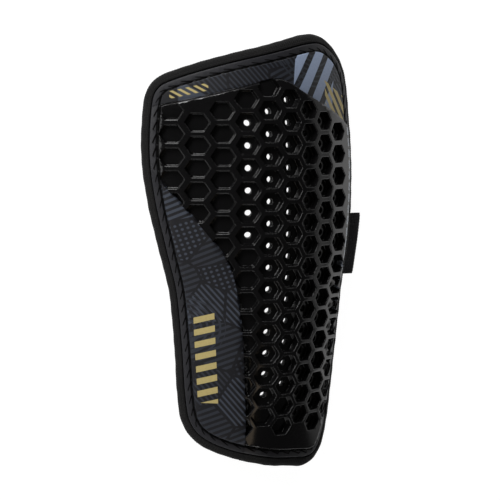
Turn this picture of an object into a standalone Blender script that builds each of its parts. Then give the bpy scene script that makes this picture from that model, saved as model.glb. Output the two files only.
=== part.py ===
"""A soccer shin guard that lies hollow side down: a moulded shell with a honeycomb
front, the foam backing it is sewn to, the cloth that binds the foam's edge, and the
folded webbing tab behind the right edge. Metres, +Z up, ankle end toward -Y."""
import bpy
import bmesh
import numpy as np
from mathutils import Matrix

# The guard as a whole
LENGTH = 0.2078        # ankle end to knee end along the middle line
HALF_WIDTH = 0.0555    # middle line to the middle of the bound edge, at the calf
CREST = 0.0313         # rise of the foam's front face at the middle line

# Thicknesses, measured square to the guard's surface
FOAM = 0.0032
CLOTH = 0.0012         # edge binding
FLANGE = 0.0016        # shell where it is sewn down
RIBS = 0.0042          # shell at the top of the honeycomb ribs
PIT_FLOOR = 0.0009     # shell at the bottom of a pit
GAP = 0.0003           # between touching pieces

# The bound edge and the border of the shell
EDGE_RADIUS = FOAM / 2 + GAP + CLOTH
BINDING_REACH = 0.0015     # arm of the binding, inward from the middle of the edge
BORDER = 0.0062            # middle of the edge to the foot of the raised honeycomb
BEVEL = 0.0012             # run of the honeycomb's sloping side

# The honeycomb, spaced by the size of the guard
COLUMNS = 9
LAST_ROW = 15
COLUMN_PITCH = 0.18 * HALF_WIDTH
ANKLE_PITCH = 0.166 * HALF_WIDTH    # the columns draw together below the calf
LEFT_SPREAD = 0.007 * HALF_WIDTH    # added to the pitch left of the fourth column
ROW_PITCH = 0.0522 * LENGTH
ROW_CLOSING = 0.00012 * LENGTH      # each row is this much nearer to the next
FIRST_ROW = 0.867 * LENGTH          # place of the highest pit, in the middle column
FIELD_SHIFT = 0.015 * HALF_WIDTH    # field's middle, right of the middle line
RIB_WIDTH = 0.00225                 # between two pits of a column
PIT_HEIGHT = ROW_PITCH - RIB_WIDTH                        # flat to flat
PIT_WIDTH = 4 / 3 * COLUMN_PITCH - 1.25 * RIB_WIDTH       # corner to corner
PIT_DRAFT = 0.00035                 # each wall leans out by this much
LEAST_PIT = PIT_WIDTH / 5           # a pit that the panel leaves less of is left out
VENT_RADIUS = 0.0015
CLEAR = 0.002                       # how far cutters reach past what they cut

# The webbing tab
TAB_WIDTH = 0.030
TAB_THICKNESS = 0.0028     # two layers
TAB_MIDDLE = 0.1028        # its place along the guard
TAB_REACH = 0.0068         # how far it stands out from the bound edge
TAB_TUCK = 0.016           # how far it runs in under the foam

# Cross sections of the foam's front face. Along is a share of LENGTH, the feet (where
# the arch would meet the ground) of HALF_WIDTH, and the crest of CREST.
SECTIONS = (
    # along, left foot, right foot, crest
    (0.00, 0.719, 0.831, 0.495),
    (0.15, 0.776, 0.832, 0.732),
    (0.35, 0.850, 0.928, 0.923),
    (0.52, 1.016, 1.056, 0.997),
    (0.70, 1.108, 1.030, 1.000),
    (1.00, 1.034, 0.951, 0.783),
)

# The middle of the bound edge, counterclockwise, side by side. Across is a share of
# HALF_WIDTH and along a share of LENGTH.
RIM = {
    "ankle end": ((-0.525, 0.050), (-0.309, 0.021), (0.018, 0.000), (0.270, -0.008),
                  (0.445, -0.012)),
    "right side": ((0.573, 0.006), (0.650, 0.050), (0.705, 0.125), (0.749, 0.216),
                   (0.789, 0.328), (0.815, 0.419), (0.869, 0.516), (0.909, 0.617),
                   (0.920, 0.704), (0.888, 0.811), (0.850, 0.889)),
    "knee end": ((0.738, 0.941), (0.545, 0.974), (0.345, 0.976), (0.016, 0.957),
                 (-0.420, 0.929), (-0.791, 0.896)),
    "left side": ((-0.938, 0.870), (-0.993, 0.820), (-1.010, 0.714), (-0.959, 0.606),
                  (-0.864, 0.495), (-0.769, 0.395), (-0.717, 0.280), (-0.683, 0.158),
                  (-0.637, 0.091)),
}
STEPS = {"ankle end": 11, "right side": 14, "knee end": 11, "left side": 14}
SPAN = 24                  # short steps in each span of the smooth curve

# Upper limit of the raised honeycomb, and the edge of the smooth panel on the lower
# left, in the same shares as the rim.
UPPER_LIMIT = ((-1.00, 0.821), (0.03, 0.888), (0.25, 0.860), (0.68, 0.803), (0.95, 0.740))
PANEL_EDGE = ((-0.98, 0.687), (-0.71, 0.593), (-0.41, 0.481), (-0.33, 0.426),
              (-0.28, 0.345), (-0.25, 0.282), (-0.23, 0.200), (-0.18, 0.040))


def blend(table, key, column):
    """Smooth reading of one column of a table at the given keys."""
    table = np.array(table)
    x, y = table[:, 0], table[:, column]
    slope = np.gradient(y, x)
    key = np.clip(key, x[0], x[-1])
    i = np.clip(np.searchsorted(x, key) - 1, 0, len(x) - 2)
    step = x[i + 1] - x[i]
    t = (key - x[i]) / step
    return ((2 * t**3 - 3 * t**2 + 1) * y[i] + (t**3 - 2 * t**2 + t) * step * slope[i]
            + (3 * t**2 - 2 * t**3) * y[i + 1] + (t**3 - t**2) * step * slope[i + 1])


def arch(x, y):
    """Height of the foam's front face: round at the crest, straighter at the feet."""
    along = y / LENGTH
    foot = HALF_WIDTH * np.where(x < 0, blend(SECTIONS, along, 1), blend(SECTIONS, along, 2))
    fall = (np.sqrt(1 + 4 * (x / foot) ** 2) - 1) / (np.sqrt(5) - 1)
    return CREST * blend(SECTIONS, along, 3) * (1 - fall)


def slopes(x, y, step=1e-5):
    """Rise of the arch per metre across and along."""
    return ((arch(x + step, y) - arch(x - step, y)) / (2 * step),
            (arch(x, y + step) - arch(x, y - step)) / (2 * step))


def place(points, lift):
    """Points of the plan (x, y), stood on the arch and lifted square to it."""
    x, y = points[..., 0], points[..., 1]
    sx, sy = slopes(x, y)
    k = lift / np.sqrt(1 + sx**2 + sy**2)
    return np.stack([x - sx * k, y - sy * k, arch(x, y) + k], -1)


def smooth_loop(points, per_span=SPAN):
    """Closed curve through the points, each span as many short steps."""
    p = np.asarray(points)
    a, b, c, d = np.roll(p, 1, 0), p, np.roll(p, -1, 0), np.roll(p, -2, 0)
    t = np.linspace(0, 1, per_span, endpoint=False)[None, :, None]
    a, b, c, d = (q[:, None, :] for q in (a, b, c, d))
    curve = b + 0.5 * t * ((c - a) + t * ((2 * a - 5 * b + 4 * c - d)
                                          + t * (3 * (b - c) + d - a)))
    return curve.reshape(-1, 2)


def evenly(points, count):
    """Count points along a run, closer together at its ends, its last point left out."""
    run = np.r_[0, np.cumsum(np.linalg.norm(np.diff(points, axis=0), axis=1))]
    share = np.linspace(0, 1, count, endpoint=False)
    at = run[-1] * (0.5 * share + 0.25 * (1 - np.cos(np.pi * share)))
    return np.stack([np.interp(at, run, points[:, i]) for i in (0, 1)], -1)


def rim_line():
    """The middle of the bound edge, each side in its own number of steps."""
    size = np.array([HALF_WIDTH, LENGTH])
    curve = smooth_loop(np.array([p for side in RIM.values() for p in side]) * size)
    curve = np.r_[curve, curve[:1]]
    sides, start = [], 0
    for name, points in RIM.items():
        end = start + SPAN * len(points)
        sides.append(evenly(curve[start:end + 1], STEPS[name]))
        start = end
    return np.concatenate(sides)


RIM_LINE = rim_line()


def ring(outset):
    """The rim line moved outward by a distance measured on the surface."""
    tangent = np.roll(RIM_LINE, -1, 0) - np.roll(RIM_LINE, 1, 0)
    out = np.stack([tangent[:, 1], -tangent[:, 0]], -1)
    out /= np.linalg.norm(out, axis=1, keepdims=True)
    sx, sy = slopes(RIM_LINE[:, 0], RIM_LINE[:, 1])
    rise = out[:, 0] * sx + out[:, 1] * sy
    return RIM_LINE + out * (outset / np.sqrt(1 + rise**2))[:, None]


def field(inset, margin):
    """Outline of the raised honeycomb: a ring, cut off below the upper limit."""
    loop = ring(-inset)
    limit = np.array(UPPER_LIMIT) * (HALF_WIDTH, LENGTH) - (0, margin)
    corner = np.cumsum([0] + list(STEPS.values()))

    def rise(points):
        """Run up a side to where it meets the limit."""
        room = np.interp(points[:, 0], limit[:, 0], limit[:, 1]) - points[:, 1]
        top = int(np.argmax(room < 0))
        share = room[top - 1] / (room[top - 1] - room[top])
        end = points[top - 1] + (points[top] - points[top - 1]) * share
        return np.r_[points[:top], [end]]

    right = rise(loop[corner[1]:])
    left = rise(np.r_[loop[:1], loop[:corner[1] + 4:-1]])[::-1]
    between = limit[(limit[:, 0] < right[-1, 0]) & (limit[:, 0] > left[0, 0])][::-1]
    top = np.r_[right[-1:], between, left[:1]]
    return np.concatenate([loop[:corner[1]], evenly(right, STEPS["right side"]),
                           evenly(top, STEPS["knee end"]), evenly(left, STEPS["left side"])])


def patch(loop):
    """Grid that fills a ring from its four sides."""
    n = list(STEPS.values())
    i = np.cumsum([0] + n)
    loop = np.r_[loop, loop[:1]]
    south, east = loop[i[0]:i[1] + 1], loop[i[1]:i[2] + 1]
    north, west = loop[i[2]:i[3] + 1][::-1], loop[i[3]:i[4] + 1][::-1]
    u = np.linspace(0, 1, n[0] + 1)[None, :, None]
    v = np.linspace(0, 1, n[1] + 1)[:, None, None]
    corners = ((1 - u) * (1 - v) * south[0] + u * (1 - v) * south[-1]
               + (1 - u) * v * north[0] + u * v * north[-1])
    return ((1 - v) * south[None] + v * north[None]
            + (1 - u) * west[:, None] + u * east[:, None] - corners)


def finish(name, verts, faces, collection, color=None, roughness=0.5):
    """Mesh object with its faces turned outward. A part gets its own material; a cutter
    gets triangles, which cut cleanly where its sides are twisted."""
    mesh = bpy.data.meshes.new(name)
    mesh.from_pydata([tuple(v) for v in verts], [], faces)
    bm = bmesh.new()
    bm.from_mesh(mesh)
    bmesh.ops.remove_doubles(bm, verts=bm.verts, dist=1e-6)
    bmesh.ops.recalc_face_normals(bm, faces=bm.faces)
    if color is None:
        bmesh.ops.triangulate(bm, faces=bm.faces)
    bm.to_mesh(mesh)
    bm.free()
    if color is not None:
        mesh.shade_smooth()
        mesh.set_sharp_from_angle(angle=np.radians(35))
    obj = bpy.data.objects.new(name, mesh)
    collection.objects.link(obj)
    if color is not None:
        material = bpy.data.materials.new(name)
        material.use_nodes = True
        shader = material.node_tree.nodes["Principled BSDF"]
        shader.inputs["Base Color"].default_value = (*color, 1)
        shader.inputs["Roughness"].default_value = roughness
        mesh.materials.append(material)
    return obj


def plate(name, rings, **look):
    """Closed plate from rings given front to back; the first and last are filled in."""
    count = len(RIM_LINE)
    verts = list(np.concatenate([place(points, lift) for points, lift in rings]))
    faces = []
    for r in range(len(rings) - 1):
        for i in range(count):
            j = (i + 1) % count
            faces.append((r * count + i, r * count + j,
                          (r + 1) * count + j, (r + 1) * count + i))
    for points, lift in (rings[0], rings[-1]):
        grid = place(patch(points), lift)
        rows, cols = grid.shape[:2]
        base = len(verts)
        verts += list(grid.reshape(-1, 3))
        faces += [(base + r * cols + c, base + r * cols + c + 1,
                   base + (r + 1) * cols + c + 1, base + (r + 1) * cols + c)
                  for r in range(rows - 1) for c in range(cols - 1)]
    return finish(name, verts, faces, parts, **look)


def belt(name, section, **look):
    """Closed band round the rim from a closed section of (outset, lift) points."""
    count, n = len(RIM_LINE), len(section)
    verts = list(np.concatenate([place(ring(outset), lift) for outset, lift in section]))
    faces = [(s * count + i, s * count + (i + 1) % count,
              (s + 1) % n * count + (i + 1) % count, (s + 1) % n * count + i)
             for s in range(n) for i in range(count)]
    return finish(name, verts, faces, parts, **look)


def clip(polygon, point, normal):
    """The part of a polygon on the side of a line that its normal points to."""
    kept = []
    side = (polygon - point) @ normal
    for i, here in enumerate(polygon):
        j = (i + 1) % len(polygon)
        if side[i] >= 0:
            kept.append(here)
        if side[i] * side[j] < 0:
            kept.append(here + (polygon[j] - here) * side[i] / (side[i] - side[j]))
    return np.array(kept)


def prism(verts, faces, outlines):
    """Add a closed prism through outlines of equal count, given bottom to top."""
    n, base = len(outlines[0]), len(verts)
    for outline in outlines:
        verts += list(outline)
    faces.append(tuple(base + i for i in range(n))[::-1])
    faces.append(tuple(base + (len(outlines) - 1) * n + i for i in range(n)))
    for level in range(len(outlines) - 1):
        for i in range(n):
            low = base + level * n
            j = (i + 1) % n
            faces.append((low + i, low + j, low + n + j, low + n + i))


def pit_centres():
    """Column, row and place of every pit. Each column starts half a row below the one
    nearer to the middle, and every second one ends half a row lower."""
    for column in range(COLUMNS):
        first = abs(column - COLUMNS // 2) / 2
        last = LAST_ROW + column % 2 / 2
        for row in np.arange(first, last + 0.1):
            y = FIRST_ROW - row * ROW_PITCH + row**2 * ROW_CLOSING
            pitch = np.interp(y / LENGTH, (0.1, 0.5), (ANKLE_PITCH, COLUMN_PITCH))
            x = FIELD_SHIFT + (column - COLUMNS / 2) * pitch - LEFT_SPREAD * max(3 - column, 0)
            yield column, row, np.array([x, y])


def hexagon(width, height):
    """Six corners, two of them on the left and right."""
    half, point, flat = height / 2, width / 2, width / 4
    return np.array([(point, 0), (flat, half), (-flat, half), (-point, 0),
                     (-flat, -half), (flat, -half)])


def cutters():
    """The pits as one object and the vents as another."""
    edge = np.array(PANEL_EDGE) * (HALF_WIDTH, LENGTH)
    pits, vents = ([], []), ([], [])
    for column, row, centre in pit_centres():
        # the panel's edge beside this pit, as a straight line
        y = centre[1] + np.array([-PIT_HEIGHT, PIT_HEIGHT]) / 2
        x = np.interp(y, edge[::-1, 1], edge[::-1, 0])
        line = np.array([x[1] - x[0], y[1] - y[0]])
        normal = np.array([line[1], -line[0]]) / np.linalg.norm(line)
        start = np.array([x[0], y[0]]) + normal * GAP
        low = clip(hexagon(PIT_WIDTH, PIT_HEIGHT) + centre, start, normal)
        if len(low) < 3 or np.ptp(low @ normal) < LEAST_PIT:
            continue
        middle = low.mean(0)
        wide = middle + (low - middle) * (1 + 2 * PIT_DRAFT / PIT_HEIGHT)
        prism(*pits, [place(low, GAP + PIT_FLOOR), place(wide, GAP + RIBS + CLEAR)])
        whole = len(low) == 6 and (centre - start) @ normal > PIT_WIDTH / 2
        # the vents that show as holes: in three columns, without their end pits
        last = {3: 7, 4: LAST_ROW, 5: LAST_ROW - 0.5}.get(column, 0)
        if whole and (column < 5) / 2 < row <= last:
            vent = centre + hexagon(2 * VENT_RADIUS, 2 * VENT_RADIUS * 0.9)
            prism(*vents, [place(vent, -FOAM - CLEAR),
                           place(vent, GAP + (PIT_FLOOR + RIBS) / 2)])
    pair = finish("pit_cutter", *pits, tools), finish("vent_cutter", *vents, tools)
    for cutter in pair:
        cutter.hide_render = True
        cutter.display_type = "WIRE"
    return pair


def cut(obj, cutter):
    """Live Boolean that takes the cutter away."""
    modifier = obj.modifiers.new(cutter.name, "BOOLEAN")
    modifier.operation = "DIFFERENCE"
    modifier.solver = "EXACT"
    modifier.object = cutter


def tab_section(y, ground):
    """Middle line of the webbing at one place along the guard, from under the foam to
    the fold: down the foam's back, round the bound edge, and out along the ground."""
    right = RIM_LINE[STEPS["ankle end"]:STEPS["ankle end"] + STEPS["right side"]]
    edge = np.array([np.interp(y, right[:, 1], right[:, 0]), y])
    half = TAB_THICKNESS / 2
    behind = -FOAM / 2 - EDGE_RADIUS - GAP - half
    line = [place(edge - (share * TAB_TUCK, 0), behind) for share in (1, 0.7, 0.4)]
    middle = place(edge, -FOAM / 2)
    back = middle - place(edge, 0)
    for share in (0, 0.5, 1):
        toward = (1 - share) * back / np.linalg.norm(back) + share * np.array([0, 0, -1])
        line.append(middle + toward / np.linalg.norm(toward) * (EDGE_RADIUS + GAP + half))
    for share in (0.25, 0.5, 1):
        out = share * (EDGE_RADIUS + TAB_REACH - half)
        line.append(np.array([edge[0] + out, y, ground + half]))
    line = np.array(line)
    line[:, 1] = y
    line[:, 2] = np.maximum(line[:, 2], ground + half)
    return line


def webbing_tab(ground, **look):
    """Doubled webbing, swept along the guard, with a round fold at its outer end."""
    half = TAB_THICKNESS / 2
    loops = []
    for share in (-0.5, -0.25, 0, 0.25, 0.5):
        line = tab_section(TAB_MIDDLE + share * TAB_WIDTH, ground)
        ahead = np.gradient(line, axis=0)
        ahead /= np.linalg.norm(ahead, axis=1, keepdims=True)
        up = np.stack([-ahead[:, 2], 0 * ahead[:, 1], ahead[:, 0]], -1)
        fold = [line[-1] + half * (np.cos(a) * up[-1] + np.sin(a) * ahead[-1])
                for a in (np.pi / 4, np.pi / 2, 3 * np.pi / 4)]
        loops.append(np.r_[line + half * up, fold, (line - half * up)[::-1]])
    verts, faces = [], []
    prism(verts, faces, loops)
    return finish("webbing_tab", verts, faces, parts, **look)


bpy.ops.object.select_all(action="DESELECT")
for old in list(bpy.data.objects):
    bpy.data.objects.remove(old)
parts = bpy.data.collections.new("shin_guard")
tools = bpy.data.collections.new("cutters")
for collection in (parts, tools):
    bpy.context.scene.collection.children.link(collection)

# Foam backing: a plate with a round edge
r = FOAM / 2
round_edge = np.linspace(0, np.pi, 4)
arc = [(r * np.sin(a), -r + r * np.cos(a)) for a in round_edge]
foam = plate("foam_backing", [(ring(-BORDER), 0)] + [(ring(o), l) for o, l in arc]
             + [(ring(-BORDER), -FOAM)], color=(0.012, 0.012, 0.013), roughness=0.9)

# Edge binding: cloth folded round the foam's edge, over both its faces
inner, outer = EDGE_RADIUS - CLOTH, EDGE_RADIUS
turn = np.linspace(0, np.pi, 6)
section = [(-BINDING_REACH, -r + outer)]
section += [(outer * np.sin(a), -r + outer * np.cos(a)) for a in turn]
section += [(-BINDING_REACH, -r - outer), (-BINDING_REACH, -r - inner)]
section += [(inner * np.sin(a), -r + inner * np.cos(a)) for a in round_edge[::-1]]
section += [(-BINDING_REACH, -r + inner)]
binding = belt("edge_binding", section, color=(0.02, 0.021, 0.019), roughness=0.85)

# Shell: a thin sewn border, then the raised honeycomb field
edge_in = -BINDING_REACH - GAP
foot = field(BORDER, 0)
brow = field(BORDER + BEVEL, BEVEL)
shell = plate("shell", [(brow, GAP + RIBS), (foot, GAP + FLANGE), (ring(edge_in), GAP + FLANGE),
                        (ring(edge_in), GAP), (ring(-BORDER), GAP)],
              color=(0.01, 0.01, 0.011), roughness=0.22)
pit_cutter, vent_cutter = cutters()
cut(shell, pit_cutter)
cut(shell, vent_cutter)
cut(foam, vent_cutter)

ground = min(place(ring(o), l)[:, 2].min() for o, l in section)
tab = webbing_tab(ground, color=(0.015, 0.015, 0.016), roughness=0.9)

# Stand the guard on z = 0 with the middle of its plan at the origin
corners = np.array([v.co for obj in parts.objects for v in obj.data.vertices])
low, high = corners.min(0), corners.max(0)
shift = Matrix.Translation((-(low[0] + high[0]) / 2, -(low[1] + high[1]) / 2, -low[2]))
for obj in list(parts.objects) + list(tools.objects):
    obj.data.transform(shift)
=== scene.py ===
import bpy
import numpy as np
from mathutils import Matrix, Vector
from mathutils.geometry import delaunay_2d_cdt


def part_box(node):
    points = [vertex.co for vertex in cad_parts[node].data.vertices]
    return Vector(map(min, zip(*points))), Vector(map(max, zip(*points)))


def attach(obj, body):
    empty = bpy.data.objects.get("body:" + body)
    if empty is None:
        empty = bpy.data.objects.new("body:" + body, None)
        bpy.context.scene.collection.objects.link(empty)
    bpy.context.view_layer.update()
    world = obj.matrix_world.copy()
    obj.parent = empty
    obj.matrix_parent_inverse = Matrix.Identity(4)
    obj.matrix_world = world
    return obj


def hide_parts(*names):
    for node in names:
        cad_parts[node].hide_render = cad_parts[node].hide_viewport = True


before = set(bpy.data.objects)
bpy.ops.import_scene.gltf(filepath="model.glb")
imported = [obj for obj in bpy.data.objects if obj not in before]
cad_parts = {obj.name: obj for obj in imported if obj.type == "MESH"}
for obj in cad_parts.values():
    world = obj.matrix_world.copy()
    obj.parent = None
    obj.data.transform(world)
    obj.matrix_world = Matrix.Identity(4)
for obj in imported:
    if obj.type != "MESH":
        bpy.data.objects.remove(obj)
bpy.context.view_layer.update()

# ---- Foam backing ----
# A 3 mm sheet of closed-cell foam with black jersey laminated to both faces, heat-formed
# over the same arched mould as the shell. Round vents are punched through it behind the
# pits over the shin, and the row of stitches pulls its cloth in.
# Plans are in mm from the middle line and the ankle end.
LENGTH, HALF_WIDTH, CREST = 207.8, 55.5, 31.3
FOAM_THICK = 3.2
SECTIONS = np.array((
    # along, left foot, right foot, crest
    (0.00, 0.719, 0.831, 0.495),
    (0.15, 0.776, 0.832, 0.732),
    (0.35, 0.850, 0.928, 0.923),
    (0.52, 1.016, 1.056, 0.997),
    (0.70, 1.108, 1.030, 1.000),
    (1.00, 1.034, 0.951, 0.783),
))
RIM = ((-0.525, 0.050), (-0.309, 0.021), (0.018, 0.000), (0.270, -0.008), (0.445, -0.012),
       (0.573, 0.006), (0.650, 0.050), (0.705, 0.125), (0.749, 0.216), (0.789, 0.328),
       (0.815, 0.419), (0.869, 0.516), (0.909, 0.617), (0.920, 0.704), (0.888, 0.811),
       (0.850, 0.889), (0.738, 0.941), (0.545, 0.974), (0.345, 0.976), (0.016, 0.957),
       (-0.420, 0.929), (-0.791, 0.896), (-0.938, 0.870), (-0.993, 0.820), (-1.010, 0.714),
       (-0.959, 0.606), (-0.864, 0.495), (-0.769, 0.395), (-0.717, 0.280), (-0.683, 0.158),
       (-0.637, 0.091))


def blend(key, column):
    """Smooth reading of one column of the sections: a cubic between two rows whose
    slopes there are the slopes from row to row."""
    x, y = SECTIONS[:, 0], SECTIONS[:, column]
    slope = np.gradient(y, x)
    key = np.clip(key, x[0], x[-1])
    i = np.clip(np.searchsorted(x, key) - 1, 0, len(x) - 2)
    step = x[i + 1] - x[i]
    t = (key - x[i]) / step
    return ((2 * t**3 - 3 * t**2 + 1) * y[i] + (t**3 - 2 * t**2 + t) * step * slope[i]
            + (3 * t**2 - 2 * t**3) * y[i + 1] + (t**3 - t**2) * step * slope[i + 1])


def arch(x, y):
    """Height of the foam's front face: a hyperbola over the width, round at the crest
    and straighter at the feet."""
    along = y / LENGTH
    foot = HALF_WIDTH * np.where(x < 0, blend(along, 1), blend(along, 2))
    fall = (np.sqrt(1 + 4 * (x / foot) ** 2) - 1) / (np.sqrt(5) - 1)
    return CREST * blend(along, 3) * (1 - fall)


def slopes(x, y):
    """Rise of the arch per mm across and along, from heights 0.01 mm to each side."""
    return ((arch(x + 0.01, y) - arch(x - 0.01, y)) / 0.02,
            (arch(x, y + 0.01) - arch(x, y - 0.01)) / 0.02)


def place(points, lift):
    """Plan points stood on the arch, then moved along its normal by the lift."""
    x, y = points[..., 0], points[..., 1]
    sx, sy = slopes(x, y)
    k = lift / np.sqrt(1 + sx**2 + sy**2)
    return np.stack([x - sx * k, y - sy * k, arch(x, y) + k], -1)


def smooth_line(points, closed=True, per_span=24):
    """Curve through the points, each span a cubic in as many short steps."""
    p = np.asarray(points, float)
    if not closed:
        p = np.r_[[2 * p[0] - p[1]], p, [2 * p[-1] - p[-2]]]
    a, b, c, d = np.roll(p, 1, 0), p, np.roll(p, -1, 0), np.roll(p, -2, 0)
    t = np.linspace(0, 1, per_span, endpoint=False)[None, :, None]
    a, b, c, d = (q[:, None, :] for q in (a, b, c, d))
    curve = b + 0.5 * t * ((c - a) + t * ((2 * a - 5 * b + 4 * c - d)
                                          + t * (3 * (b - c) + d - a)))
    return curve.reshape(-1, 2) if closed else curve[1:-2].reshape(-1, 2)


def evenly(line, count, closed=True):
    """Points at equal steps along a run."""
    if closed:
        line = np.r_[line, line[:1]]
    run = np.r_[0, np.cumsum(np.linalg.norm(np.diff(line, axis=0), axis=1))]
    at = np.linspace(0, run[-1], count, endpoint=not closed)
    return np.stack([np.interp(at, run, line[:, i]) for i in (0, 1)], -1)


rim_line = smooth_line(np.array(RIM) * (HALF_WIDTH, LENGTH))


def ring(outset, count=744):
    """The middle of the bound edge, moved outward by a distance along the surface."""
    line = evenly(rim_line, count)
    tangent = np.roll(line, -1, 0) - np.roll(line, 1, 0)
    out = np.stack([tangent[:, 1], -tangent[:, 0]], -1)
    out /= np.linalg.norm(out, axis=1, keepdims=True)
    sx, sy = slopes(line[:, 0], line[:, 1])
    rise = out[:, 0] * sx + out[:, 1] * sy
    return line + out * (outset / np.sqrt(1 + rise**2))[:, None]


# The plan's place in the model's frame, from the CAD's binding
EDGE_RADIUS = 3.1
low, high = (np.array(c) * 1000 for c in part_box("edge_binding"))
outer = place(ring(EDGE_RADIUS), -FOAM_THICK / 2)
under = place(ring(0), -FOAM_THICK / 2 - EDGE_RADIUS)
MOVE = np.array([*((low + high) / 2 - (outer.min(0) + outer.max(0)) / 2)[:2],
                 low[2] - under[:, 2].min()])


def to_model(points):
    """Plan mm to the model's metres."""
    return (points + MOVE) / 1000


def nearest(points, line, closed=True):
    """Distance to a run of points along the surface, positive on the left of it: the
    plan distance to the nearest span times the slope's stretch that way."""
    start, end = (line, np.roll(line, -1, 0)) if closed else (line[:-1], line[1:])
    span = end - start
    out = np.empty(len(points))
    for i in range(0, len(points), 4000):
        p = points[i:i + 4000]
        t = ((p[:, None] - start) * span).sum(2) / (span**2).sum(1)
        foot = start + np.clip(t, 0, 1)[..., None] * span
        gap = ((p[:, None] - foot) ** 2).sum(2)
        best = gap.argmin(1)
        q = foot[np.arange(len(p)), best]
        away = p - q
        side = np.sign(span[best, 0] * away[:, 1] - span[best, 1] * away[:, 0])
        length = np.hypot(*away.T)
        sx, sy = slopes(*((p + q) / 2).T)
        rise = (away[:, 0] * sx + away[:, 1] * sy) / np.maximum(length, 1e-9)
        out[i:i + 4000] = side * length * np.sqrt(1 + rise**2)
    return out


# Honeycomb: columns of pits, every second one half a row lower
COLUMNS, COLUMN_PITCH, ANKLE_PITCH = 9, 0.18 * HALF_WIDTH, 0.166 * HALF_WIDTH
FIELD_SHIFT, LEFT_SPREAD = 0.015 * HALF_WIDTH, 0.007 * HALF_WIDTH
FIRST_ROW, ROW_PITCH, ROW_CLOSING = 0.867 * LENGTH, 0.0522 * LENGTH, 0.00012 * LENGTH
LAST_ROW = 15
FIRST_VENTED, VENT_RADIUS = 3, 1.5
LAST_VENTED = {3: 7, 4: LAST_ROW - 0.8, 5: LAST_ROW - 0.8}     # by column, else all rows
CUT_OFF = 4.6              # a pit whose middle lies further under the panel is left out
VENT_ROOM = 5              # least distance from a vent to the panel's edge
WIDER, ASIDE = 0.35, 0.7   # the foam's vents of the sixth column: radius, and to the right
PANEL_EDGE = smooth_line(np.array((
    (-1.12, 0.735), (-0.98, 0.687), (-0.86, 0.645), (-0.71, 0.593), (-0.56, 0.541),
    (-0.41, 0.481), (-0.345, 0.440), (-0.305, 0.390), (-0.28, 0.345), (-0.25, 0.282),
    (-0.228, 0.200), (-0.19, 0.070), (-0.185, -0.06))) * (HALF_WIDTH, LENGTH), closed=False)
centres, vented, foam_vents = [], [], []
for column in range(COLUMNS):
    for row in np.arange(abs(column - 4) / 2 - (column == 0), LAST_ROW + 0.1 + column % 2 / 2):
        y = FIRST_ROW - row * ROW_PITCH + row**2 * ROW_CLOSING
        pitch = np.interp(y / LENGTH, (0.1, 0.5), (ANKLE_PITCH, COLUMN_PITCH))
        centre = (FIELD_SHIFT + (column - COLUMNS / 2) * pitch
                  - LEFT_SPREAD * max(3 - column, 0), y)
        inside = nearest(np.array([centre]), PANEL_EDGE, closed=False)[0]
        if inside > -CUT_OFF:
            centres.append(centre)
            vented.append(column >= FIRST_VENTED and inside > VENT_ROOM
                          and (column < 5) / 2 < row < LAST_VENTED.get(column, LAST_ROW + 1))
            if vented[-1]:
                wide = column == 5
                foam_vents.append((centre[0] + ASIDE * wide, y, VENT_RADIUS + WIDER * wide))
centres, vented, foam_vents = map(np.array, (centres, vented, foam_vents))


def triangulate(curves, spots):
    """Triangles over the plan that keep every given curve, a (points, closed) pair, as
    edges; the spots fill the rest."""
    verts, edges = [], []
    for line, closed in curves:
        base, n = len(verts), len(line)
        verts += [Vector(p) for p in line]
        edges += [(base + i, base + (i + 1) % n) for i in range(n if closed else n - 1)]
    verts += [Vector(p) for p in spots]
    result = delaunay_2d_cdt(verts, edges, [], 0, 1e-5, False)
    return np.array([tuple(v) for v in result[0]]), np.array([tuple(f) for f in result[2]])


def spots_between(step, room):
    """Staggered points over the plan where room(points) holds."""
    grid = np.stack(np.meshgrid(np.arange(-58, 58, step), np.arange(-6, 208, step)), -1)
    grid[1::2, :, 0] += step / 2
    grid = grid.reshape(-1, 2)
    return grid[room(grid)]


def compact(points, faces):
    """Only the points that the faces use."""
    used, faces = np.unique(faces, return_inverse=True)
    return points[used], faces.reshape(-1, 3)


def open_edges(faces):
    """The edges that one triangle has to itself, in its direction."""
    edges = faces[:, [[0, 1], [1, 2], [2, 0]]].reshape(-1, 2)
    _, first, count = np.unique(np.sort(edges, 1), axis=0, return_index=True,
                                return_counts=True)
    return edges[first[count == 1]]


def mesh_object(name, verts, faces):
    """A smooth-shaded mesh in the scene, its points where the model has them."""
    mesh = bpy.data.meshes.new(name)
    mesh.from_pydata([tuple(v) for v in verts], [], [tuple(map(int, f)) for f in faces])
    mesh.shade_smooth()
    obj = bpy.data.objects.new(name, mesh)
    bpy.context.scene.collection.objects.link(obj)
    return obj


def weigh_normals(obj):
    """Normals that follow the larger faces at each vertex, so that walls and floors
    shade flat and the rounds between them do the turning."""
    mesh = obj.data
    mesh.calc_loop_triangles()
    corners = np.empty(len(mesh.loop_triangles) * 3, int)
    mesh.loop_triangles.foreach_get("vertices", corners)
    corners = corners.reshape(-1, 3)
    spots = np.empty(len(mesh.vertices) * 3)
    mesh.vertices.foreach_get("co", spots)
    a, b, c = (spots.reshape(-1, 3)[corners[:, i]] * 1000 for i in range(3))
    area = np.cross(b - a, c - a)
    normals = np.zeros((len(mesh.vertices), 3))
    for i in range(3):
        np.add.at(normals, corners[:, i], area)
    normals /= np.maximum(np.linalg.norm(normals, axis=1, keepdims=True), 1e-12)
    mesh.normals_split_custom_set_from_vertices([tuple(v) for v in normals])


def plan_attribute(obj, points):
    """Store each vertex's place in the plan and its distance in from the edge, in
    metres, for the patterns to follow."""
    flat = np.c_[points, nearest(points, rim_line)] / 1000
    data = obj.data.attributes.new("plan", "FLOAT_VECTOR", "POINT").data
    data.foreach_set("vector", flat.ravel())


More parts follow.
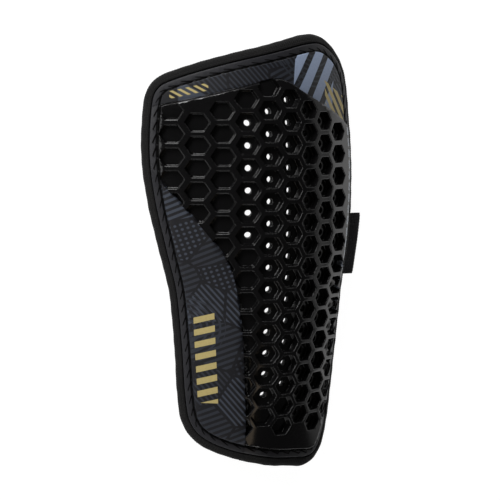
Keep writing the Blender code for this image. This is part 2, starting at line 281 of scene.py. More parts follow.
angles = np.linspace(0, 2 * np.pi, 18, endpoint=False)
circle = np.stack([np.cos(angles), np.sin(angles)], -1)
STITCH_LINE = 5.55         # from the middle of the edge inward to the row of stitches
DRAWN_IN, DRAWN_WIDE = 0.5, 1.1     # how deep and wide the stitches draw the back in
ROUND_COUNT = 420          # points round the foam's edge


def foam_back(points):
    """Lift of the back face: flat, drawn in along the row of stitches."""
    edge = nearest(points, rim_line)
    return -FOAM_THICK + DRAWN_IN * np.exp(-((edge - STITCH_LINE) / DRAWN_WIDE) ** 2)


def in_vent(points, margin):
    """Whether points lie in one of the foam's vents or within a margin of it."""
    gap = np.linalg.norm(points[:, None] - foam_vents[:, :2], axis=2) - foam_vents[:, 2]
    return gap.min(1) < margin


curves = [(ring(-e, ROUND_COUNT), True)
          for e in (0, STITCH_LINE - 1, STITCH_LINE, STITCH_LINE + 1)]
curves += [(circle * vent[2] + vent[:2], True) for vent in foam_vents]
points, faces = triangulate(curves, spots_between(
    2.6, lambda p: (nearest(p, rim_line) > 1) & ~in_vent(p, 0.9)))
middle = points[faces].mean(1)
faces = faces[(nearest(middle, rim_line) > 0) & ~in_vent(middle, -0.03)]
points, faces = compact(points, faces)
rim_edges = open_edges(faces)
n = len(points)
at_rim = nearest(points[rim_edges[:, 0]], rim_line) < 0.3
front, rear = place(points, 0), place(points, foam_back(points))
# the round outer edge: half a circle from the front face to the back one
rounds = np.linspace(0, np.pi, 8)[1:-1]
steps = [place(ring(FOAM_THICK / 2 * np.sin(a), ROUND_COUNT),
               FOAM_THICK / 2 * (np.cos(a) - 1)) for a in rounds]
foam_rim = ring(0, ROUND_COUNT)
ring_of = {v: np.linalg.norm(foam_rim - points[v], axis=1).argmin()
           for v in rim_edges[at_rim].ravel()}
verts = np.concatenate([front, rear] + steps)
walls = [(b, a, a + n, b + n) for a, b in rim_edges[~at_rim]]
for a, b in rim_edges[at_rim]:
    a_side, b_side = ([v] + [2 * n + k * ROUND_COUNT + ring_of[v] for k in range(len(steps))]
                      + [v + n] for v in (a, b))
    walls += [(b_side[k], a_side[k], a_side[k + 1], b_side[k + 1])
              for k in range(len(a_side) - 1)]
foam = mesh_object("foam_pad", to_model(verts),
                   [*faces, *(faces[:, ::-1] + n), *walls])
plan_attribute(foam, np.concatenate([points, points] + [foam_rim] * len(steps)))


class Pattern:
    """Builds a material's nodes; each method adds one and gives back its output."""

    def __init__(self, name, roughness, **sockets):
        self.material = bpy.data.materials.new(name)
        self.material.use_nodes = True
        self.tree = self.material.node_tree
        self.shader = self.tree.nodes["Principled BSDF"]
        self.shader.inputs["Roughness"].default_value = roughness
        for socket, value in sockets.items():
            self.shader.inputs[socket.replace("_", " ")].default_value = value

    def node(self, kind, output, settings=None, **inputs):
        """A node by kind; an input is a socket's name, or an underscore and its number."""
        node = self.tree.nodes.new("ShaderNode" + kind)
        for name, value in (settings or {}).items():
            setattr(node, name, value)
        for key, value in inputs.items():
            socket = node.inputs[int(key[1:]) if key[0] == "_" else key.replace("_", " ")]
            self.join(value, socket)
        return node.outputs[output]

    def join(self, value, socket):
        """Link an output to the socket, or set the socket to a number or colour."""
        if isinstance(value, bpy.types.NodeSocket):
            self.tree.links.new(value, socket)
        elif hasattr(value, "__len__") and len(value) == 3 and socket.type == "RGBA":
            socket.default_value = (*value, 1)
        else:
            socket.default_value = value

    def maths(self, operation, *values):
        inputs = {f"_{i}": v for i, v in enumerate(values)}
        return self.node("Math", 0, {"operation": operation}, **inputs)

    def mix(self, share, a, b):
        """Colour a where the share is 0, b where it is 1."""
        return self.node("Mix", 2, {"data_type": "RGBA"}, _0=share, _6=a, _7=b)

    def ramp(self, value, low, high, out_low=0.0, out_high=1.0):
        """The range from low to high read as another range, and held at its ends."""
        return self.node("MapRange", 0, None, _0=value, _1=low, _2=high, _3=out_low,
                         _4=out_high)

    def noise(self, where, scale, detail=3.0, roughness=0.5):
        return self.node("TexNoise", 0, None, Vector=where, Scale=scale, Detail=detail,
                         Roughness=roughness)

    def surface(self, color, roughness=None, height=None, depth=0.1):
        """Colour, roughness and a bump height, the last to a depth in mm."""
        self.join(color, self.shader.inputs["Base Color"])
        if roughness is not None:
            self.join(roughness, self.shader.inputs["Roughness"])
        if height is not None:
            bump = self.node("Bump", 0, None, Strength=1.0, Distance=depth / 1000,
                             Height=height)
            self.tree.links.new(bump, self.shader.inputs["Normal"])
        return self.material


def jersey(name, where, color, pitch, worn, roughness=0.92, sheen=0.08):
    """Knitted cloth: rows of small V loops, given by two waves whose phases swing
    against each other, over a little lint and unevenness of dye."""
    cloth = Pattern(name, roughness, Sheen_Weight=sheen, Sheen_Roughness=0.45,
                    Specular_IOR_Level=0.3)
    across, along, _ = (cloth.node("SeparateXYZ", i, None, Vector=where(cloth))
                        for i in range(3))
    wale = cloth.maths("MULTIPLY", across, 2 * np.pi / pitch)
    swing = cloth.maths("ABSOLUTE", cloth.maths("SINE", cloth.maths("MULTIPLY", wale, 0.5)))
    row = cloth.maths("ADD", cloth.maths("MULTIPLY", along, 2 * np.pi / (pitch * 0.8)),
                      cloth.maths("MULTIPLY", swing, 2.6))
    loops = cloth.maths("MULTIPLY_ADD", cloth.maths("SINE", row), 0.5, 0.5)
    height = cloth.maths("MULTIPLY", loops, cloth.maths("POWER", swing, 0.5))
    spot = cloth.node("TexCoord", 3)
    lint = cloth.noise(spot, 900, 4, 0.6)
    patches = cloth.noise(spot, 70, 2)
    # partly painted shade: the loops' low parts are coloured darker; the lint noise adds real
    # fibre tone
    loop_shade_and_lint = cloth.ramp(cloth.maths("ADD", height, cloth.maths("MULTIPLY", lint, 0.8)), 0.2, 1.5)
    base = cloth.mix(loop_shade_and_lint, [0.55 * c for c in color], color)
    base = cloth.mix(cloth.ramp(patches, 0.42, 0.75, 0, 0.45), base, worn)
    return cloth.surface(base, None, cloth.maths("ADD", height, cloth.maths(
        "MULTIPLY", lint, 0.5)), 0.16)


def plan_place(pattern):
    """A surface's place in the plan, as plan_attribute stored it."""
    return pattern.node("Attribute", 1, {"attribute_name": "plan"})


foam.data.materials.append(jersey("laminated_jersey", plan_place, (0.030, 0.030, 0.031),
                                  0.0011, (0.040, 0.040, 0.042)))
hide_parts("foam_backing")
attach(foam, "root")

# ---- Moulded shell ----
# Hard black plastic, moulded with a honeycomb of open pits on a raised field and a thin
# border that is sewn down. The pits over the shin are cups with a vent; the film bonded
# over the knee end and the lower left carries a printed pattern.
GAP, FLANGE, RIBS, FLOOR_THICK = 0.3, 1.6, 4.2, 0.9
EDGE_IN = 2.1              # middle of the bound edge to the shell's edge
BORDER, BEVEL = 6.2, 1.2   # to the foot of the raised field, and its slope
FILM = 0.25                # how far the printed film stands above the plastic
GROOVE, GROOVE_DEPTH = 0.6, 0.6     # half the width of the sewn groove, and its depth
EDGE_DROP, EDGE_RUN = 0.35, 0.4     # the rounding of the shell's edge
CUP_DEPTH, CUP_RADIUS = 0.55, 3.5   # the dish round a vent
FILM_RUN = 0.12            # width of the film's step
SHELL_COUNT = 500          # points round the shell
STEP_SHARE = 0.7           # how deep the highest pit of the first column is, to the others
PIT_WIDTH, PIT_HEIGHT, PIT_ROUND = 10.4, 8.55, 0.4
PIT_DEPTH, BROW, DRAFT = RIBS - FLOOR_THICK, 0.35, np.radians(4)
UPPER_LIMIT = smooth_line(np.array((
    (-1.15, 0.798), (-0.98, 0.823), (-0.50, 0.855), (-0.15, 0.880), (0.00, 0.889),
    (0.11, 0.882), (0.25, 0.860), (0.47, 0.831), (0.68, 0.803), (0.84, 0.770),
    (0.95, 0.737), (1.06, 0.69))) * (HALF_WIDTH, LENGTH), closed=False)


def pit_profile():
    """Distance outside the pit's outline and share of its depth, down a rounded brow, a
    drafted wall and a foot that is the brow turned over."""
    turn = np.linspace(0, np.pi / 2 - DRAFT, 5)
    across, down = BROW * (1 - np.sin(turn)), BROW * (1 - np.cos(turn))
    run = (PIT_DEPTH - 2 * down[-1]) * np.tan(DRAFT)
    return np.stack([np.r_[across, 2 * across[-1] - run - across[::-1]],
                     np.r_[down, PIT_DEPTH - down[::-1]] / PIT_DEPTH], -1)


PIT_PROFILE = pit_profile()


def pit_outline(dx, dy):
    """Distance outside a pit's hexagon, its corners rounded where two sides are near
    each other in distance."""
    w, h = PIT_WIDTH / 2, PIT_HEIGHT / 2
    flat = np.abs(dy) - h
    slant = (h * np.abs(dx) + w / 2 * np.abs(dy) - h * w) / np.hypot(h, w / 2)
    near = np.maximum(PIT_ROUND - np.abs(flat - slant), 0)
    return np.maximum(flat, slant) + near**2 / (4 * PIT_ROUND)


def own_pit(points):
    """The pit nearest to each point, and the point's place from its middle."""
    index = np.empty(len(points), int)
    for i in range(0, len(points), 8000):
        gap = points[i:i + 8000, None] - centres
        index[i:i + 8000] = (gap**2).sum(2).argmin(1)
    return index, points - centres[index]


def below_limit(points):
    """How far below the field's upper limit each point lies."""
    return -nearest(points, UPPER_LIMIT, closed=False)


def beside_line(line, distance):
    """An open line moved to its left by a distance along the surface."""
    ahead = np.gradient(line, axis=0)
    left = np.stack([-ahead[:, 1], ahead[:, 0]], -1) / np.hypot(*ahead.T)[:, None]
    sx, sy = slopes(*line.T)
    rise = left[:, 0] * sx + left[:, 1] * sy
    return line + left * (distance / np.sqrt(1 + rise**2))[:, None]


def shell_lift(points):
    """Height of the shell's front above the foam: the border with its sewn groove, the
    slope up to the field, the pits with their cups, then the film's step."""
    edge = nearest(points, rim_line)
    limit = below_limit(points)
    panel = nearest(points, PANEL_EDGE, closed=False)
    t = np.clip(np.minimum(edge - BORDER, limit) / BEVEL, 0, 1)
    lift = GAP + FLANGE + (RIBS - FLANGE) * t * t * (3 - 2 * t)
    lift -= GROOVE_DEPTH * np.clip(1 - np.abs(edge - STITCH_LINE) / GROOVE, 0, 1) ** 0.6
    lift -= EDGE_DROP * np.clip(1 - (edge - EDGE_IN) / EDGE_RUN, 0, 1) ** 2
    film = np.clip(np.maximum(-limit, -panel) / FILM_RUN, 0, 1)
    index, at = own_pit(points)
    share = np.interp(-pit_outline(*at.T), -PIT_PROFILE[:, 0], PIT_PROFILE[:, 1])
    # the first column's highest pit is only a step that runs out upward
    run_out = np.clip((0.3 * PIT_HEIGHT - at[:, 1]) / (0.8 * PIT_HEIGHT), 0, 1)
    share = np.where(index == 0, share * STEP_SHARE * run_out, share)
    cup = CUP_DEPTH * vented[index] * np.clip(1 - np.hypot(*at.T) / CUP_RADIUS, 0, 1)
    pit = lift + (np.minimum(GAP + FLOOR_THICK - cup, lift) - lift) * share
    return np.where(film >= 1, lift + FILM, pit + (lift + FILM - pit) * film)


# bearings round a pit: close together at its six corners
top = np.arctan2(PIT_HEIGHT / 2, PIT_WIDTH / 4)
corners = np.array([0, top, np.pi - top, np.pi, np.pi + top, 2 * np.pi - top])
side = np.diff(np.r_[corners, 2 * np.pi])
bearings = np.concatenate([corners + np.radians(turn) for turn in (-6, -2.5, 2.5, 6)]
                          + [corners + side * share for share in (0.35, 0.65)])
bearings = np.sort(bearings % (2 * np.pi))


def pit_ring(level):
    """Points round a pit where its outline distance has the given value, found by
    halving."""
    ray = np.stack([np.cos(bearings), np.sin(bearings)], -1)
    near, far = np.zeros(len(ray)), np.full(len(ray), 9.0)
    for _ in range(30):
        mid = (near + far) / 2
        inside = pit_outline(*(mid[:, None] * ray).T) < level
        near, far = np.where(inside, mid, near), np.where(inside, far, mid)
    return near[:, None] * ray


curves = [(ring(-e, SHELL_COUNT), True) for e in (
    EDGE_IN, EDGE_IN + 0.15, EDGE_IN + EDGE_RUN, STITCH_LINE - GROOVE, STITCH_LINE - 0.45,
    STITCH_LINE, STITCH_LINE + 0.45, BORDER, BORDER + 0.25, BORDER + 0.6, BORDER + 0.95,
    BORDER + BEVEL)]
curves += [(beside_line(UPPER_LIMIT, -down), False)
           for down in (-FILM_RUN, 0, 0.25, 0.6, 0.95, BEVEL)]
curves += [(beside_line(PANEL_EDGE, shift), False) for shift in (-FILM_RUN, 0)]
levels = [pit_ring(level) for level in PIT_PROFILE[:, 0]]
for centre, has_vent in zip(centres, vented):
    curves += [(level + centre, True) for level in levels]
    if has_vent:    # its hole, and two rings up the cup
        curves += [(circle * r + centre, True) for r in (VENT_RADIUS, 1.7, 2.5)]
points, faces = triangulate(curves, spots_between(
    1.9, lambda p: (pit_outline(*own_pit(p)[1].T) > 0.55)
    & (nearest(p, rim_line) > EDGE_IN + 0.5)))
middle = points[faces].mean(1)
index, at = own_pit(middle)
hole = (vented[index] & (np.hypot(*at.T) < VENT_RADIUS * 0.98)
        & (nearest(middle, PANEL_EDGE, closed=False) > 0))
faces = faces[(nearest(middle, rim_line) > EDGE_IN - 0.01) & ~hole]
points, faces = compact(points, faces)
middle = points[faces].mean(1)
n = len(points)
verts = np.concatenate([place(points, shell_lift(points)), place(points, GAP)])
walls = [(b, a, a + n, b + n) for a, b in open_edges(faces)]
shell = mesh_object("shell_front", to_model(verts), [*faces, *walls])
weigh_normals(shell)
plan_attribute(shell, np.r_[points, points])
film_top = below_limit(middle) < -0.01
film_side = nearest(middle, PANEL_EDGE, closed=False) < -0.01
slots = np.zeros(len(faces) + len(walls), int)
slots[:len(faces)] = film_top | film_side
shell.data.polygons.foreach_set("material_index", slots)

plastic = Pattern("moulded_plastic", 0.2, IOR=1.42)
spot = plastic.node("TexCoord", 3)
cloudy = plastic.noise(spot, 60, 3)
grain = plastic.noise(spot, 1500, 2)
rubs = plastic.noise(plastic.node("Mapping", 0, None, Vector=spot, Rotation=(0, 0, 0.6),
                                  Scale=(2600, 160, 900)), 1.0, 2)
shine = plastic.maths("ADD", plastic.ramp(cloudy, 0.3, 0.7, 0.11, 0.17),
                      plastic.ramp(rubs, 0.62, 0.78, 0, 0.10))
base = plastic.mix(cloudy, (0.0030, 0.0029, 0.0030), (0.0048, 0.0046, 0.0050))
# the border is grained, so it is greyer and duller than the field
across, along, inward = (plastic.maths("MULTIPLY", plastic.node(
    "SeparateXYZ", i, None, Vector=plan_place(plastic)), 1000) for i in range(3))
border = plastic.ramp(inward, BORDER - 0.3, BORDER, 1, 0)
base = plastic.mix(border, base, (0.019, 0.019, 0.022))
shine = plastic.maths("ADD", shine, plastic.maths("MULTIPLY", border, 0.28))


def sewn(pattern, inward):
    """1 along the sewn groove, where the groove's shade is painted in as near-black colour."""
    off = pattern.maths("ABSOLUTE", pattern.maths("SUBTRACT", inward, STITCH_LINE))
    return pattern.ramp(off, 0.35, GROOVE, 1, 0)


# painted shade: the sewn groove is coloured near black
base = plastic.mix(sewn(plastic, inward), base, (0.001, 0.001, 0.001))
# pale dashes printed down the right margin of the field; its lower pits come nearer the
# edge, so there they end sooner and fade
DASH_PITCH, DASH_SHARE = 5.4, 0.72
reach = plastic.ramp(along, 80, 115, 7.3, 8.9)
dash = plastic.maths("LESS_THAN", plastic.maths("FRACT", plastic.maths(
    "DIVIDE", along, DASH_PITCH)), DASH_SHARE)
for mask in (plastic.maths("LESS_THAN", inward, reach),
             plastic.maths("GREATER_THAN", across, 20),
             plastic.maths("GREATER_THAN", inward, BORDER + 0.4),
             plastic.ramp(along, 60, 110, 0.0, 0.9)):
    dash = plastic.maths("MULTIPLY", dash, mask)
base = plastic.mix(dash, base, (0.26, 0.29, 0.34))
shell.data.materials.append(plastic.surface(base, shine, grain, 0.003))


def printed_film():
    """A patchwork of facets over charcoal, each hatched or dotted in grey blue, with
    rings about two points, a few steel-blue beams and gold bars, under a satin film."""
    ink = Pattern("printed_film", 0.45, Specular_IOR_Level=0.2)
    where = plan_place(ink)
    x, y, inward = (ink.maths("MULTIPLY", ink.node("SeparateXYZ", i, None, Vector=where), 1000)
                    for i in range(3))

    def stripes(value, pitch, share):
        """1 over a share of every pitch."""
        turn = ink.maths("FRACT", ink.maths("DIVIDE", value, pitch))
        return ink.maths("LESS_THAN", turn, share)

    def turned(angle):
        """Distance across the plan in a direction, in degrees from the x axis."""
        a = np.radians(angle)
        return ink.maths("ADD", ink.maths("MULTIPLY", x, np.cos(a)),
                         ink.maths("MULTIPLY", y, np.sin(a)))

    def within(value, low, high):
        """1 where the value lies between the two."""
        return ink.maths("MULTIPLY", ink.maths("GREATER_THAN", value, low),
                         ink.maths("LESS_THAN", value, high))

    def both(*masks):
        """1 where every mask is."""
        out = masks[0]
        for mask in masks[1:]:
            out = ink.maths("MULTIPLY", out, mask)
        return out

    def rings(cx, cy, pitch, share):
        """Stripes round a point, and the distance from it."""
        dx = ink.maths("SUBTRACT", x, cx)
        dy = ink.maths("SUBTRACT", y, cy)
        reach = ink.maths("SQRT", ink.maths("ADD", ink.maths("MULTIPLY", dx, dx),
                                            ink.maths("MULTIPLY", dy, dy)))
        return stripes(reach, pitch, share), reach

    charcoal, slate, steel = (0.010, 0.010, 0.012), (0.026, 0.029, 0.037), (0.32, 0.39, 0.54)
    gold = (0.42, 0.34, 0.14)
    facets = 62        # to the metre
    shade = ink.node("TexVoronoi", 1, {"feature": "F1", "voronoi_dimensions": "2D"},
                     Vector=where, Scale=facets)
    pick = ink.node("SeparateColor", 0, None, Color=shade)
    second = ink.node("SeparateColor", 1, None, Color=shade)
    wall = ink.node("TexVoronoi", 0, {"feature": "DISTANCE_TO_EDGE",
                                      "voronoi_dimensions": "2D"}, Vector=where, Scale=facets)
    hatch_a = both(within(pick, 0.0, 0.30), stripes(turned(38), 1.9, 0.42))
    hatch_b = both(within(pick, 0.30, 0.55), stripes(turned(-64), 2.6, 0.5))
    dots_x, dots_y = (ink.maths("SUBTRACT", ink.maths("FRACT", ink.maths(
        "DIVIDE", turned(angle), 2.3)), 0.5) for angle in (20, 110))
    reach = ink.maths("ADD", ink.maths("MULTIPLY", dots_x, dots_x),
                      ink.maths("MULTIPLY", dots_y, dots_y))
    dotted = both(within(pick, 0.55, 0.78), ink.maths("LESS_THAN", reach, 0.07))
    plain = within(pick, 0.86, 1.1)
    mark = ink.maths("MAXIMUM", ink.maths("MAXIMUM", hatch_a, hatch_b),
                     ink.maths("MAXIMUM", dotted, plain))
    mark = both(mark, ink.maths("GREATER_THAN", wall, 0.035))
    pale = ink.mix(ink.maths("GREATER_THAN", second, 0.6), slate, (0.044, 0.051, 0.067))
    color = ink.mix(mark, charcoal, pale)
    for cx, cy, size in ((-38, 66, 17), (24, 205, 26)):
        lines, far = rings(cx, cy, 2.4, 0.36)
        color = ink.mix(both(lines, ink.maths("LESS_THAN", far, size)), color, slate)
    fade = ink.ramp(y, 164, 196, 0.35, 1.0)
    beam = both(stripes(turned(-34), 9.0, 0.6), within(turned(-8), -16, 11),
                within(y, 160, 198))
    color = ink.mix(ink.maths("MULTIPLY", beam, fade), color, steel)
    bars = both(stripes(turned(108), 5.8, 0.5), within(turned(4), -28.5, -20.5),
                within(y, 30, 74))
    dashes = both(stripes(turned(58), 2.4, 0.42), within(turned(104), 181, 184.5),
                  within(x, -46, -30))
    tips = both(stripes(turned(32), 3.6, 0.55), within(x, 30, 47.5),
                within(turned(60), 164, 174))
    gilt = ink.maths("MAXIMUM", bars, ink.maths("MAXIMUM", dashes, tips))
    color = ink.mix(gilt, color, gold)
    # the print stops at the stitches
    color = ink.mix(ink.maths("LESS_THAN", inward, STITCH_LINE + 0.5), color,
                    (0.019, 0.019, 0.022))
    # painted shade: the sewn groove is coloured near black over the print
    color = ink.mix(sewn(ink, inward), color, (0.001, 0.001, 0.001))
    speck = ink.noise(ink.node("TexCoord", 3), 1100, 2)
    color = ink.mix(ink.ramp(speck, 0.4, 0.8, 0, 0.12), color, (0.0, 0.0, 0.0))
    return ink.surface(color, ink.ramp(speck, 0.3, 0.7, 0.38, 0.48), speck, 0.008)


shell.data.materials.append(printed_film())
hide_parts("shell")
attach(shell, "root")

# ---- Stitches ----
# Black bonded nylon is sewn twice round through the shell's groove and the foam, with long
# stitches: one thread lies straight and the other slants away from it and comes back at
# the needle's hole. On the back they show as one row pulled into the cloth.
STITCH, THREAD = 6.2, 0.27
TURN_BACK = 0.86           # share of a stitch after which the slanting thread turns back
ROW_COUNT = 4000           # points round the row


def threads(name, lift, offset, sag, slant=0.0):
    """Each stitch a tube along its share of the row, dipping at both ends, where it goes
    through the needle's hole; it slants outward on the way and turns back near its end."""
    run = place(ring(-STITCH_LINE, ROW_COUNT), lift)
    length = np.linalg.norm(np.diff(np.r_[run, run[:1]], axis=0), axis=1).sum()
    count = int(round(length / STITCH))
    share = np.linspace(0.06, 0.94, 11)
    turn = np.linspace(0, 2 * np.pi, 6, endpoint=False)
    n = len(turn)
    drop = sag * (2 * share - 1) ** 4
    bow = slant * np.minimum(share / TURN_BACK, (1 - share) / (1 - TURN_BACK) * 0.9)
    line = ring(-STITCH_LINE + offset, ROW_COUNT)
    verts, faces = [], []
    for s in range(count):
        path = line[((s + share) / count * ROW_COUNT).astype(int) % ROW_COUNT]
        tangent = np.gradient(path, axis=0)
        tangent /= np.linalg.norm(tangent, axis=1, keepdims=True)
        beside = np.stack([tangent[:, 1], -tangent[:, 0]], -1)
        tube = (path[:, None] + beside[:, None]
                * (bow[:, None, None] + THREAD * np.cos(turn)[None, :, None]))
        rise = lift - drop[:, None] + THREAD * np.sin(turn)[None, :]
        base = len(verts)
        verts += list(place(tube, rise).reshape(-1, 3))
        faces += [(base + i * n + j, base + (i + 1) * n + j,
                   base + (i + 1) * n + (j + 1) % n, base + i * n + (j + 1) % n)
                  for i in range(len(share) - 1) for j in range(n)]
        faces += [tuple(base + j for j in range(n)),
                  tuple(base + (len(share) - 1) * n + j for j in range(n))[::-1]]
    return mesh_object(name, to_model(np.array(verts)), faces)


thread = Pattern("bonded_thread", 0.8, Specular_IOR_Level=0.05)
twist = thread.node("TexWave", 1, {"wave_type": "BANDS", "bands_direction": "DIAGONAL"},
                    Vector=thread.node("TexCoord", 3), Scale=900, Distortion=1.0)
# painted shade: the twist's grooves, low in the bump, are coloured darker
thread_finish = thread.surface(thread.mix(twist, (0.001, 0.001, 0.001), (0.005, 0.005, 0.005)),
                               None, twist, 0.05)
rows = (threads("stitches_front", GAP + FLANGE - 0.1, -0.3, 0.7),
        threads("stitches_slanted", GAP + FLANGE + 0.2, -0.1, 0.9, 1.7),
        threads("stitches_back", -FOAM_THICK + 0.32, 0.0, -0.5))
for row in rows:
    row.data.materials.append(thread_finish)
    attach(row, "root")

# ---- Edge binding ----
# A strip of black ribbed knit, folded round the foam's edge and caught on both faces. It
# stretches round the corners, so its ribs lie across the edge all the way round.
CLOTH, REACH = 1.2, 1.5
RIB_PITCH, RIB_POINTS = 1.15, 6
RIB_SWELL, SLACK = 0.11, 0.10      # how far the ribs stand out, and the cloth's unevenness


def band(name, points, uv):
    """Closed band from a grid of points, round the run and round the section, with its
    cloth lengths in metres as the UV map."""
    rows, cols = points.shape[:2]
    i, j = np.meshgrid(np.arange(rows), np.arange(cols), indexing="ij")
    corner = np.stack([i * cols + j, (i + 1) % rows * cols + j,
                       (i + 1) % rows * cols + (j + 1) % cols, i * cols + (j + 1) % cols], -1)
    obj = mesh_object(name, points.reshape(-1, 3), corner.reshape(-1, 4))
    u, v = uv
    u, v = np.r_[u, u[-1] + u[1] - u[0]], np.r_[v, v[-1] + v[1] - v[0]]
    corners = np.stack([np.stack([u[i], v[j]], -1), np.stack([u[i + 1], v[j]], -1),
                        np.stack([u[i + 1], v[j + 1]], -1), np.stack([u[i], v[j + 1]], -1)], 2)
    obj.data.uv_layers.new(name="cloth").data.foreach_set("uv", corners.ravel())
    return obj


run = place(ring(0, ROW_COUNT), -FOAM_THICK / 2)
edge_length = np.linalg.norm(np.diff(np.r_[run, run[:1]], axis=0), axis=1).sum()
ribs = int(round(edge_length / RIB_PITCH))
count = ribs * RIB_POINTS
phase = np.arange(count) / RIB_POINTS * 2 * np.pi
outer = EDGE_RADIUS - 0.25
turn = np.linspace(0, np.pi, 13)
# the section, from the front arm's end round to the back and inside again: distance out
# from the foam's edge, lift over its front, and how much the ribs show there
section = [(-REACH, CLOTH + GAP - 0.05, 0.3), (-REACH + 0.5, CLOTH + GAP + 0.12, 0.8)]
section += [(outer * np.sin(a), -FOAM_THICK / 2 + outer * np.cos(a), 1.0) for a in turn]
section += [(-REACH + 0.5, -FOAM_THICK - CLOTH - GAP - 0.12, 0.8),
            (-REACH, -FOAM_THICK - CLOTH - GAP + 0.05, 0.3),
            (-REACH, -FOAM_THICK - GAP, 0.0)]
inner = EDGE_RADIUS - CLOTH
section += [(inner * np.sin(a), -FOAM_THICK / 2 + inner * np.cos(a), 0.0)
            for a in np.linspace(np.pi, 0, 7)]
section += [(-REACH, GAP, 0.0)]
wave = 0.5 - 0.5 * np.cos(phase)
slack = SLACK * np.sin(phase / 9.0) * np.sin(phase / 23.0 + 1)
grid = []
for outset, lift, shows in section:
    angle = np.arctan2(outset, lift + FOAM_THICK / 2)
    swell = shows * (RIB_SWELL * (wave - 0.5) + slack)
    line = ring(outset, count)
    off = ring(outset + 0.5, count) - line
    grid.append(place(line + off * (2 * swell * max(np.sin(angle), 0))[:, None],
                      lift + swell * np.cos(angle)))
grid = to_model(np.array(grid).transpose(1, 0, 2))
grid[..., 2] = np.maximum(grid[..., 2], 0)      # flattened where it lies on the ground
around = np.r_[0, np.cumsum([np.hypot(b[0] - a[0], b[1] - a[1])
                             for a, b in zip(section, section[1:])])]
binding = band("knit_binding", grid[:, ::-1],
               (np.arange(count) / count * edge_length / 1000, around / 1000))


def cloth_place(pattern):
    """A point's place in the strip before it is folded."""
    return pattern.node("UVMap", 0, {"uv_map": "cloth"})


binding.data.materials.append(jersey("ribbed_knit", cloth_place, (0.0045, 0.0043, 0.0045),
                                     0.00115, (0.0085, 0.008, 0.007), sheen=0.01))
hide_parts("edge_binding")
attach(binding, "root")

# ---- Webbing tab ----
# A 30 mm strip of black elastic webbing, doubled into a tab and tacked behind the right
# edge, where the calf strap hooks on. Its weave shows as cords along the strip.
TAB_WIDTH, TAB_MIDDLE, TAB_REACH, LAYER = 30.0, 102.8, 6.8, 1.3
TAB_HALF = 1.4             # from the line between the layers to a face, with room
TAB_START = 16             # from the foam's edge inward to the tab's sewn end
CORD_PITCH, CORD_RISE, EDGE_PULL = 1.5, 0.06, 0.35
right = smooth_line(np.array(RIM[4:17]) * (HALF_WIDTH, LENGTH), closed=False)


def tab_path(y):
    """Middle line between the two layers at one place along the guard: down the foam's
    back, round the bound edge, and out along the ground."""
    edge = np.array([np.interp(y, right[:, 1], right[:, 0]), y])
    line = [place(edge - (inward, 0), -FOAM_THICK / 2 - EDGE_RADIUS - GAP - TAB_HALF)
            for inward in TAB_START * np.array([1, 0.7, 0.4])]
    middle = place(edge, -FOAM_THICK / 2)
    back = middle - place(edge, 0)
    for share in (0, 0.5, 1):
        toward = (1 - share) * back / np.linalg.norm(back) + share * np.array([0, 0, -1])
        line.append(middle + toward / np.linalg.norm(toward) * (EDGE_RADIUS + GAP + TAB_HALF))
    for share in (0.25, 0.5, 1):
        out = share * (EDGE_RADIUS + TAB_REACH - TAB_HALF)
        line.append(np.array([edge[0] + out, y, 0]))
    line = np.array(line)
    line[:, 1] = y
    line[:, 2] = np.maximum(line[:, 2], TAB_HALF - MOVE[2])
    run = np.r_[0, np.cumsum(np.linalg.norm(np.diff(line, axis=0), axis=1))]
    at = np.linspace(0, run[-1], 90)
    line = np.stack([np.interp(at, run, line[:, i]) for i in range(3)], -1)
    for _ in range(12):
        line[1:-1] = (line[:-2] + 2 * line[1:-1] + line[2:]) / 4
    line[:, 2] = np.maximum(line[:, 2], TAB_HALF - MOVE[2])
    return line


def tab_surface(across):
    """Loops round the strip: out on the upper layer, round the fold, back on the lower."""
    loops = []
    for share in across:
        line = tab_path(TAB_MIDDLE + share * TAB_WIDTH)
        ahead = np.gradient(line, axis=0)
        ahead /= np.linalg.norm(ahead, axis=1, keepdims=True)
        up = np.stack([-ahead[:, 2], 0 * ahead[:, 1], ahead[:, 0]], -1)
        edge_pull = EDGE_PULL * abs(2 * share) ** 12
        cord = CORD_RISE * np.cos(share * TAB_WIDTH / CORD_PITCH * 2 * np.pi)
        t = LAYER + 0.04 - edge_pull + cord
        s = 0.07 + edge_pull * 0.6
        fold = np.linspace(0.12, np.pi - 0.12, 9)[:, None]
        rise, reach = np.cos(fold) * up[-1], np.sin(fold) * ahead[-1]
        outer = [line + t * up, line[-1] + t * (rise + reach), (line - t * up)[::-1]]
        inner = [line - s * up, line[-1] + s * (-rise + reach), (line + s * up)[::-1]]
        loops.append(np.concatenate(outer + inner))
    return np.array(loops)


# closer together toward the strip's edges
even = np.linspace(-0.5, 0.5, 121)
across = np.sin(even * np.pi) * 0.35 + even * 0.3
loops = tab_surface(across)
rows, cols = loops.shape[:2]
i, j = np.meshgrid(np.arange(rows - 1), np.arange(cols), indexing="ij")
quads = np.stack([i * cols + j, (i + 1) * cols + j, (i + 1) * cols + (j + 1) % cols,
                  i * cols + (j + 1) % cols], -1).reshape(-1, 4)
k = np.arange(cols // 2 - 1)
sides = np.stack([k, k + 1, cols - 2 - k, cols - 1 - k], -1)
tab = mesh_object("webbing_loop", to_model(loops.reshape(-1, 3)),
                  [*quads, *sides, *(sides[:, ::-1] + (rows - 1) * cols)])
cloth = np.stack(np.broadcast_arrays((across * TAB_WIDTH / 1000)[:, None],
                                     np.arange(cols)[None] * 0.0004, 0.0), -1)
tab.data.attributes.new("plan", "FLOAT_VECTOR", "POINT").data.foreach_set(
    "vector", cloth.ravel())
tab.data.materials.append(jersey("woven_webbing", plan_place, (0.020, 0.020, 0.022),
                                 0.0013, (0.035, 0.035, 0.038), 0.8))
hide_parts("webbing_tab")
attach(tab, "root")
path = tab_path(TAB_MIDDLE)
reach = 2 * np.linalg.norm(np.diff(path, axis=0), axis=1).sum() + 2

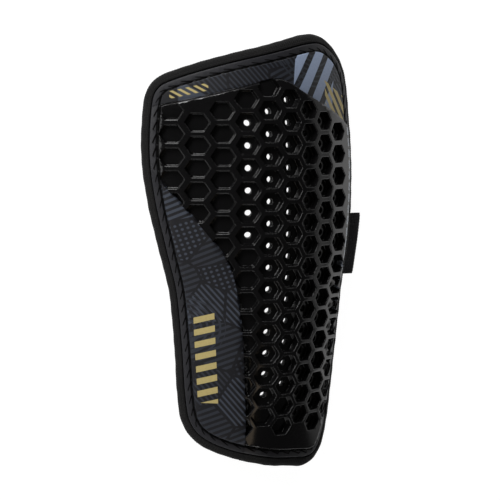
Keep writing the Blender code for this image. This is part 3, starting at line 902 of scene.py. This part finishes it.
# ---- Camera, floor and light ----
# A long lens above the guard, 24 degrees to its left and a little toward the knee end. The
# floor is lit white, the ceiling is dark, and soft panels stand low round the table, with a
# narrow warm one higher up at the ankle end.
AZIMUTH, TILT, DISTANCE, FRAME_WIDTH = 24.4, 4.6, 1.19, 0.240
target = Vector(to_model(np.array([-8.2, 102.6, 18.0])))
a, b = np.radians(AZIMUTH), np.radians(TILT)
toward = Vector((-np.sin(a) * np.cos(b), np.sin(b), np.cos(a) * np.cos(b)))
beside = Vector((np.cos(a), 0, np.sin(a)))
camera = bpy.data.objects.new("camera", bpy.data.cameras.new("camera"))
camera.data.sensor_width = 36
camera.data.lens = 36 * DISTANCE / FRAME_WIDTH
camera.matrix_world = (Matrix.Translation(target + toward * DISTANCE)
                       @ Matrix((beside, toward.cross(beside), toward)).transposed().to_4x4())
bpy.context.scene.collection.objects.link(camera)
bpy.context.scene.camera = camera

floor = mesh_object("floor", [(-3, -3, 0), (3, -3, 0), (3, 3, 0), (-3, 3, 0)], [(0, 1, 2, 3)])
paper = Pattern("floor", 0.9, Emission_Color=(1, 1, 1, 1), Emission_Strength=0.96)
floor.data.materials.append(paper.surface((0.15, 0.15, 0.15)))
PANELS_AWAY = 1.2
# azimuth and elevation of the panel from the guard, its width, height, glow and colour
for name, azimuth, elevation, width, height, glow, tint in (
        ("left_panel", 132, 29, 0.80, 0.42, 13.0, (1, 1, 1)),
        ("side_panel", 186, 26, 0.80, 0.35, 2.2, (1, 1, 1)),
        ("ankle_panel", 255, 24, 0.90, 0.35, 3.5, (1, 1, 1)),
        ("warm_panel", 262, 55, 0.16, 0.40, 1.3, (1.0, 0.80, 0.58)),
        ("knee_panel", 64, 21, 0.80, 0.30, 4.5, (1, 1, 1)),
        ("right_panel", 0, 10, 1.00, 0.28, 0.4, (1, 1, 1))):
    a, e = np.radians(azimuth), np.radians(elevation)
    spot = Vector((np.cos(a) * np.cos(e), np.sin(a) * np.cos(e), np.sin(e))) * PANELS_AWAY
    light = bpy.data.lights.new(name, "AREA")
    light.shape, light.size, light.size_y = "RECTANGLE", width, height
    light.energy = glow * np.pi * width * height
    light.color = tint
    lamp = bpy.data.objects.new(name, light)
    lamp.location = spot
    lamp.rotation_euler = (-spot).to_track_quat("-Z", "Y").to_euler()
    bpy.context.scene.collection.objects.link(lamp)
world = bpy.data.worlds.new("studio")
world.use_nodes = True
world.node_tree.nodes["Background"].inputs["Color"].default_value = (1, 1, 1, 1)
world.node_tree.nodes["Background"].inputs["Strength"].default_value = 0.04
bpy.context.scene.world = world
bpy.context.scene.view_settings.view_transform = "Standard"
